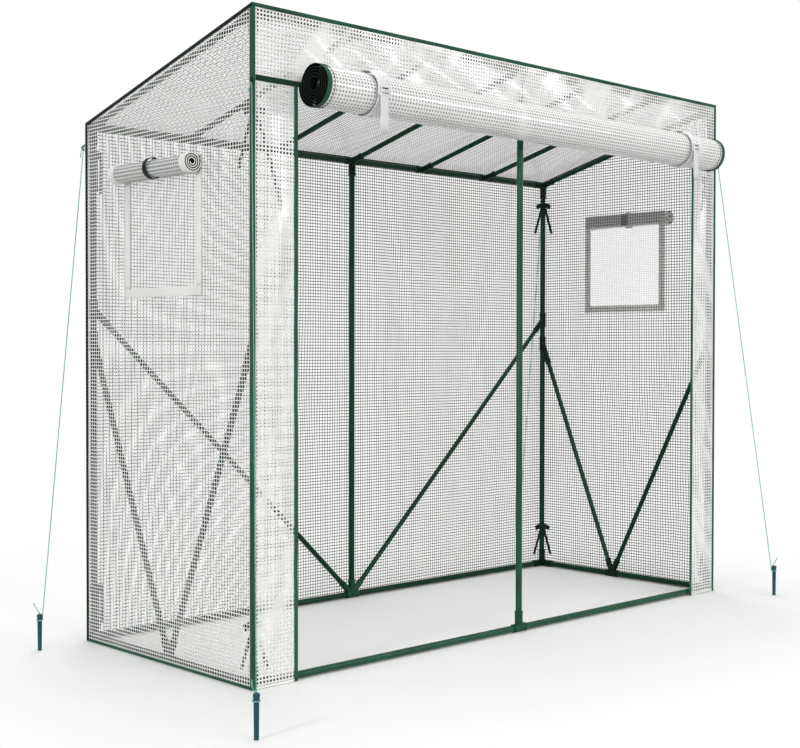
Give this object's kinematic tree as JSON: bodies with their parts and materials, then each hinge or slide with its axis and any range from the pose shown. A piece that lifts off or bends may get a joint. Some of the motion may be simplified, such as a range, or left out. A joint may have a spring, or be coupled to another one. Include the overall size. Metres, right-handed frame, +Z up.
{
  "type": "walk-in film greenhouse with a single-pitch roof",
  "caption": "Walk-in tomato greenhouse: green steel tube frame with a single-pitch roof under a grid-reinforced film cover, roll-up door, side windows and guy ropes.",
  "frame": {"origin": "on the ground under the middle of the footprint, which is also the middle of the outline with its pegs", "axes": "+X to the right along the width as seen from the doorway, +Y from the doorway to the back, +Z up"},
  "size_m": [2.5104, 1.4724, 1.6816],
  "materials": {
    "green_tube": "glossy powder coat",
    "green_fitting": "moulded, satin",
    "film": "clear film with a white reinforcing grid",
    "green_tape": "woven binding tape",
    "white_webbing": "woven webbing",
    "white_plastic": "moulded, satin",
    "white_tape": "woven binding tape",
    "insect_screen": "fine pale mesh",
    "dark_webbing": "woven webbing",
    "guy_rope": "twisted cord",
    "peg": "moulded, satin"
  },
  "bodies": {
    "root": {"post_front_left": "green_tube", "post_front_right": "green_tube", "post_back_left": "green_tube", "post_back_right": "green_tube", "post_front_centre": "green_tube", "post_back_centre": "green_tube", "rail_top_front": "green_tube", "rail_top_back": "green_tube", "rafter_left": "green_tube", "rafter_right": "green_tube", "rafters_inner": "green_tube", "base_front": "green_tube", "base_back": "green_tube", "base_left": "green_tube", "base_right": "green_tube", "brace_left": "green_tube", "brace_right": "green_tube", "brace_back": "green_tube", "fittings_top_corner": "green_fitting", "fittings_foot_corner": "green_fitting", "fittings_top_centre": "green_fitting", "fittings_foot_centre": "green_fitting", "fittings_rafter": "green_fitting", "fittings_brace": "green_fitting", "film_roof": "film", "film_back": "film", "film_left": "film", "film_right": "film", "film_fascia": "film", "film_strip_left": "film", "film_strip_right": "film", "tape_roof_edges": "green_tape", "tape_corners": "green_tape", "tape_header": "green_tape", "tape_jambs": "green_tape", "door_roll": "film", "door_straps": "white_webbing", "door_buckles": "white_plastic", "window_borders": "white_tape", "window_screens": "insect_screen", "window_rolls": "film", "window_straps": "dark_webbing", "guy_ropes": "guy_rope", "pegs": "peg", "cover_ties": "dark_webbing"}
  },
  "joints": []
}
